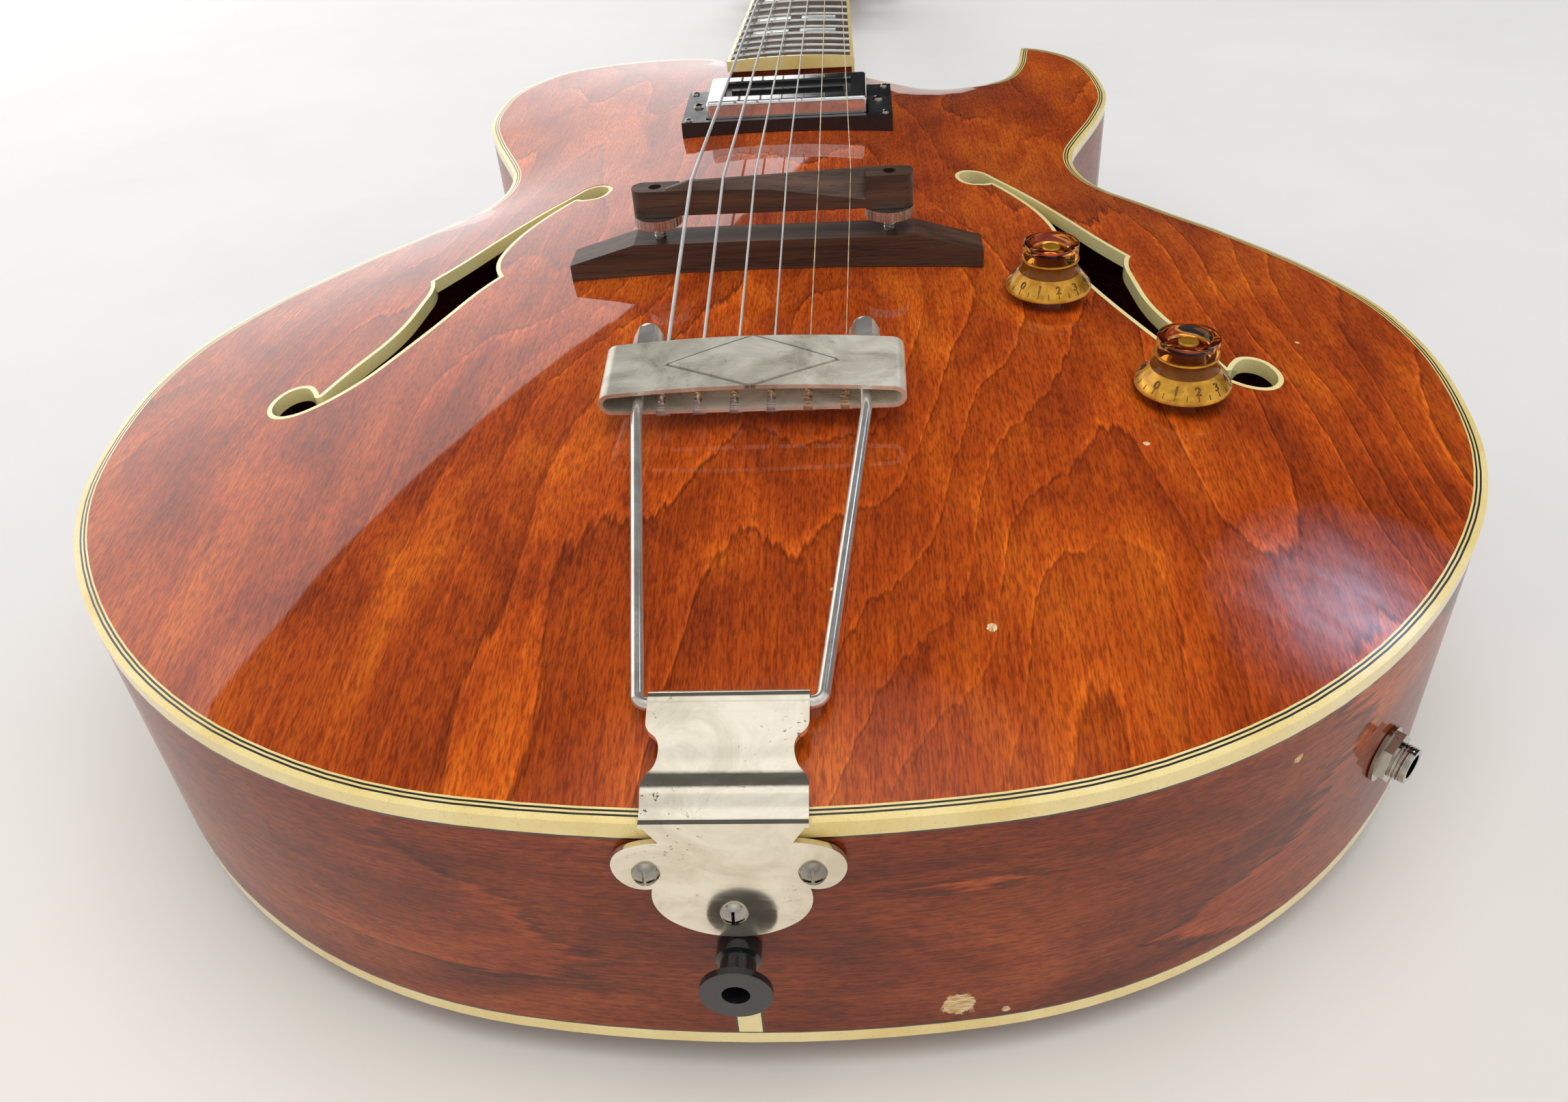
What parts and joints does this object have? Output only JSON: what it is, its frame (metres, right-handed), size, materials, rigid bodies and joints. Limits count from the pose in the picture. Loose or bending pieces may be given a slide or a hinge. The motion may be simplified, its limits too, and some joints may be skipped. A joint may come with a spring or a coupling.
{
  "type": "archtop guitar",
  "caption": "Hollow archtop guitar with a single cutaway, bound f-holes, trapeze tailpiece, floating bridge, neck pickup and two knobs, lying on its back.",
  "frame": {"origin": "on the surface the guitar lies on, under the middle of its box", "axes": "+Z out of the top, +Y from the tail to the headstock, +X to the treble side"},
  "size_m": [0.406, 1.0452, 0.1375],
  "materials": {
    "varnished_maple": "glossy red-brown stained maple",
    "inner_wood": "bare",
    "cream_binding": "polished aged cream",
    "black_lines": "plain",
    "neck_wood": "glossy dark red-brown",
    "black_gloss": "polished",
    "rosewood": "oiled",
    "fret_wire": "polished",
    "pearl": "pearl",
    "nut_bone": "smooth",
    "steel": "plain",
    "nickel": "worn nickel plate",
    "button_plastic": "polished",
    "wound_string": "wound",
    "plain_string": "polished",
    "amber_plastic": "clear amber over gold",
    "control_metal": "plain",
    "pickup_black": "plain",
    "lead_cover": "plain"
  },
  "bodies": {
    "guitar": {"top_plate": "varnished_maple", "back_plate": "varnished_maple", "side_bass": "varnished_maple", "side_treble": "varnished_maple", "side_cutaway": "varnished_maple", "linings": "inner_wood", "body_blocks": "inner_wood", "tone_bars": "inner_wood", "top_binding": "cream_binding", "back_binding": "cream_binding", "end_graft": "cream_binding", "f_hole_bindings": "cream_binding", "fingerboard_binding": "cream_binding", "purfling_black": "black_lines", "neck": "neck_wood", "headstock_overlay": "black_gloss", "truss_rod_cover": "black_gloss", "strap_pin": "black_gloss", "pickup_ring": "black_gloss", "fingerboard": "rosewood", "bridge_base": "rosewood", "frets": "fret_wire", "fret_markers": "pearl", "nut": "nut_bone", "truss_rod": "steel", "tuner_housings": "nickel", "bridge_posts": "nickel", "tailpiece_hanger": "nickel", "output_jack": "nickel", "wood_screws": "nickel", "strings_wound": "wound_string", "strings_plain": "plain_string", "potentiometers": "control_metal", "wiring": "lead_cover"},
    "tuner_button_1_set": {"tuner_button_1": "button_plastic"},
    "tuner_post_1_set": {"tuner_post_1": "nickel"},
    "tuner_button_2_set": {"tuner_button_2": "button_plastic"},
    "tuner_post_2_set": {"tuner_post_2": "nickel"},
    "tuner_button_3_set": {"tuner_button_3": "button_plastic"},
    "tuner_post_3_set": {"tuner_post_3": "nickel"},
    "tuner_button_4_set": {"tuner_button_4": "button_plastic"},
    "tuner_post_4_set": {"tuner_post_4": "nickel"},
    "tuner_button_5_set": {"tuner_button_5": "button_plastic"},
    "tuner_post_5_set": {"tuner_post_5": "nickel"},
    "tuner_button_6_set": {"tuner_button_6": "button_plastic"},
    "tuner_post_6_set": {"tuner_post_6": "nickel"},
    "saddle": {"bridge_saddle": "rosewood"},
    "bass_wheel": {"thumbwheel_bass": "nickel"},
    "treble_wheel": {"thumbwheel_treble": "nickel"},
    "trapeze": {"tailpiece_rod": "nickel", "tailpiece_crossbar": "nickel", "acorn_nuts": "nickel"},
    "pickup": {"pickup_cover": "nickel", "pickup_core": "pickup_black"},
    "bass_height_screw": {"pickup_height_screw_bass": "nickel"},
    "treble_height_screw": {"pickup_height_screw_treble": "nickel"},
    "volume": {"volume_knob": "amber_plastic", "volume_shaft": "control_metal"},
    "tone": {"tone_knob": "amber_plastic", "tone_shaft": "control_metal"}
  },
  "joints": [
    {"name": "tuner_button_1_turn", "type": "hinge", "parent": "guitar", "child": "tuner_button_1_set", "pos_m": [-0.028, 0.37146, 0.05596], "axis": [-1, 0, 0], "continuous": true},
    {"name": "tuner_post_1_turn", "type": "hinge", "parent": "guitar", "child": "tuner_post_1_set", "pos_m": [-0.028, 0.38503, 0.07103], "axis": [0, 0.3062, 0.952], "continuous": true},
    {"name": "tuner_button_2_turn", "type": "hinge", "parent": "guitar", "child": "tuner_button_2_set", "pos_m": [-0.028, 0.40954, 0.04371], "axis": [-1, 0, 0], "continuous": true},
    {"name": "tuner_post_2_turn", "type": "hinge", "parent": "guitar", "child": "tuner_post_2_set", "pos_m": [-0.028, 0.42311, 0.05878], "axis": [0, 0.3062, 0.952], "continuous": true},
    {"name": "tuner_button_3_turn", "type": "hinge", "parent": "guitar", "child": "tuner_button_3_set", "pos_m": [-0.028, 0.44762, 0.03147], "axis": [-1, 0, 0], "continuous": true},
    {"name": "tuner_post_3_turn", "type": "hinge", "parent": "guitar", "child": "tuner_post_3_set", "pos_m": [-0.028, 0.46119, 0.04654], "axis": [0, 0.3062, 0.952], "continuous": true},
    {"name": "tuner_button_4_turn", "type": "hinge", "parent": "guitar", "child": "tuner_button_4_set", "pos_m": [0.028, 0.44762, 0.03147], "axis": [1, 0, 0], "continuous": true},
    {"name": "tuner_post_4_turn", "type": "hinge", "parent": "guitar", "child": "tuner_post_4_set", "pos_m": [0.028, 0.46119, 0.04654], "axis": [0, 0.3062, 0.952], "continuous": true},
    {"name": "tuner_button_5_turn", "type": "hinge", "parent": "guitar", "child": "tuner_button_5_set", "pos_m": [0.028, 0.40954, 0.04371], "axis": [1, 0, 0], "continuous": true},
    {"name": "tuner_post_5_turn", "type": "hinge", "parent": "guitar", "child": "tuner_post_5_set", "pos_m": [0.028, 0.42311, 0.05878], "axis": [0, 0.3062, 0.952], "continuous": true},
    {"name": "tuner_button_6_turn", "type": "hinge", "parent": "guitar", "child": "tuner_button_6_set", "pos_m": [0.028, 0.37146, 0.05596], "axis": [1, 0, 0], "continuous": true},
    {"name": "tuner_post_6_turn", "type": "hinge", "parent": "guitar", "child": "tuner_post_6_set", "pos_m": [0.028, 0.38503, 0.07103], "axis": [0, 0.3062, 0.952], "continuous": true},
    {"name": "saddle_lift", "type": "slide", "parent": "guitar", "child": "saddle", "axis": [0, 0, 1], "range_m": [-0.0028, 0.0042], "deforming": ["strings_wound", "strings_plain"]},
    {"name": "bass_wheel_turn", "type": "hinge", "parent": "saddle", "child": "bass_wheel", "pos_m": [-0.036, -0.2848, 0.123], "axis": [0, 0, 1], "range_deg": [-1445, 2165], "deforming": ["strings_wound", "strings_plain"]},
    {"name": "treble_wheel_turn", "type": "hinge", "parent": "saddle", "child": "treble_wheel", "pos_m": [0.0394, -0.2848, 0.123], "axis": [0, 0, 1], "range_deg": [-1445, 2165], "deforming": ["strings_wound", "strings_plain"]},
    {"name": "trapeze_tip", "type": "hinge", "parent": "guitar", "child": "trapeze", "pos_m": [0, -0.4846, 0.09917], "axis": [1, 0, 0], "range_deg": [-2, 6], "stiffness_Nm_per_rad": 20, "deforming": ["strings_wound", "strings_plain"]},
    {"name": "pickup_lift", "type": "slide", "parent": "guitar", "child": "pickup", "axis": [0, 0, 1], "range_m": [-0.002, 0.0025]},
    {"name": "bass_height_screw_turn", "type": "hinge", "parent": "guitar", "child": "bass_height_screw", "pos_m": [-0.0386, -0.13035, 0.1093], "axis": [0, 0, 1], "range_deg": [-1034, 1291]},
    {"name": "treble_height_screw_turn", "type": "hinge", "parent": "guitar", "child": "treble_height_screw", "pos_m": [0.0386, -0.13035, 0.1093], "axis": [0, 0, 1], "range_deg": [-1034, 1291]},
    {"name": "volume_turn", "type": "hinge", "parent": "guitar", "child": "volume", "pos_m": [0.1179, -0.3676, 0.11], "axis": [0, 0, 1], "range_deg": [-150, 150]},
    {"name": "tone_turn", "type": "hinge", "parent": "guitar", "child": "tone", "pos_m": [0.088, -0.3111, 0.11], "axis": [0, 0, 1], "range_deg": [-150, 150]}
  ],
  "couplings": [
    {"joint": "tuner_post_1_turn", "follows": "tuner_button_1_turn", "ratio": -0.071429},
    {"joint": "tuner_post_2_turn", "follows": "tuner_button_2_turn", "ratio": -0.071429},
    {"joint": "tuner_post_3_turn", "follows": "tuner_button_3_turn", "ratio": -0.071429},
    {"joint": "tuner_post_4_turn", "follows": "tuner_button_4_turn", "ratio": 0.071429},
    {"joint": "tuner_post_5_turn", "follows": "tuner_button_5_turn", "ratio": 0.071429},
    {"joint": "tuner_post_6_turn", "follows": "tuner_button_6_turn", "ratio": 0.071429},
    {"joint": "bass_wheel_turn", "follows": "saddle_lift", "rad_per_m": 8976},
    {"joint": "treble_wheel_turn", "follows": "saddle_lift", "rad_per_m": 8976},
    {"joint": "bass_height_screw_turn", "follows": "pickup_lift", "rad_per_m": 8976},
    {"joint": "treble_height_screw_turn", "follows": "pickup_lift", "rad_per_m": 8976}
  ]
}
